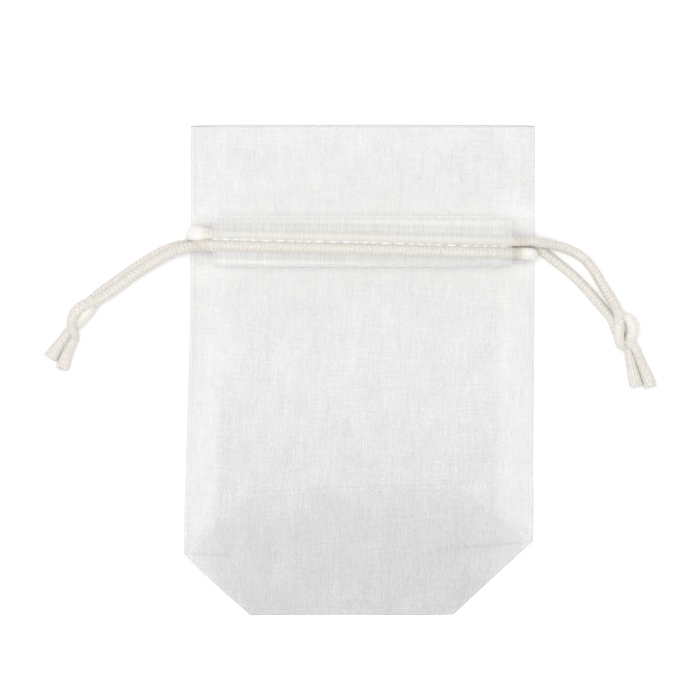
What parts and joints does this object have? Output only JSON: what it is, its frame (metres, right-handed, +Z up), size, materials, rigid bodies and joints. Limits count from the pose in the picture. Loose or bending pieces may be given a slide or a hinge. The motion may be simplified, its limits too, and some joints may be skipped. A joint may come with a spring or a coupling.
{
  "type": "drawstring gift pouch",
  "caption": "Flat sheer organza gift pouch with a folded box base, casings sewn on outside, and two drawstring loops, each knotted at one side.",
  "frame": {"origin": "under the middle of the flat pouch, on the surface that it lies on, measured without the free cord tails", "axes": "+X to the pouch's right, +Y from the bottom fold to the mouth, +Z up out of the front"},
  "size_m": [0.1864, 0.15, 0.0126],
  "materials": {
    "organza": "sheer plain-weave organza, cool white, crisp, with a faint sheen",
    "welded_seam": "organza edge welded and trimmed into a thin denser line",
    "thread": "fine white polyester sewing thread",
    "cord": "round ivory satin cord with a fine braid"
  },
  "bodies": {
    "pouch": {"front_panel": "organza", "back_panel": "organza", "base_panel": "organza", "base_inner_ply": "organza", "left_base_gusset": "organza", "right_base_gusset": "organza", "left_side_seam": "welded_seam", "right_side_seam": "welded_seam", "left_base_seam": "welded_seam", "right_base_seam": "welded_seam", "front_casing": "organza", "back_casing": "organza", "front_upper_stitches": "thread", "front_lower_stitches": "thread", "back_upper_stitches": "thread", "back_lower_stitches": "thread", "base_stitches": "thread"},
    "right_drawstring": {"right_drawstring_loop": "cord"},
    "right_tails": {"right_front_tail": "cord", "right_back_tail": "cord", "right_knot": "cord", "right_cord_ends": "cord"},
    "left_drawstring": {"left_drawstring_loop": "cord"},
    "left_tails": {"left_front_tail": "cord", "left_back_tail": "cord", "left_knot": "cord", "left_cord_ends": "cord"}
  },
  "joints": [
    {"name": "right_drawstring_pull", "type": "slide", "parent": "pouch", "child": "right_drawstring", "axis": [1, 0, 0], "range_m": [0, 0.015], "deforming": ["front_panel", "back_panel", "front_casing", "back_casing", "left_side_seam", "front_upper_stitches", "front_lower_stitches", "back_upper_stitches", "back_lower_stitches"]},
    {"name": "left_drawstring_pull", "type": "slide", "parent": "pouch", "child": "left_drawstring", "axis": [-1, 0, 0], "range_m": [0, 0.015], "deforming": ["front_panel", "back_panel", "front_casing", "back_casing", "right_side_seam", "front_upper_stitches", "front_lower_stitches", "back_upper_stitches", "back_lower_stitches"]},
    {"name": "right_tails_swing", "type": "hinge", "parent": "right_drawstring", "child": "right_tails", "pos_m": [0.0548, 0.0384, 0.0045], "axis": [0, 0, 1], "range_deg": [-15, 30]},
    {"name": "left_tails_swing", "type": "hinge", "parent": "left_drawstring", "child": "left_tails", "pos_m": [-0.0548, 0.0377, 0.0045], "axis": [0, 0, -1], "range_deg": [-15, 30]}
  ]
}
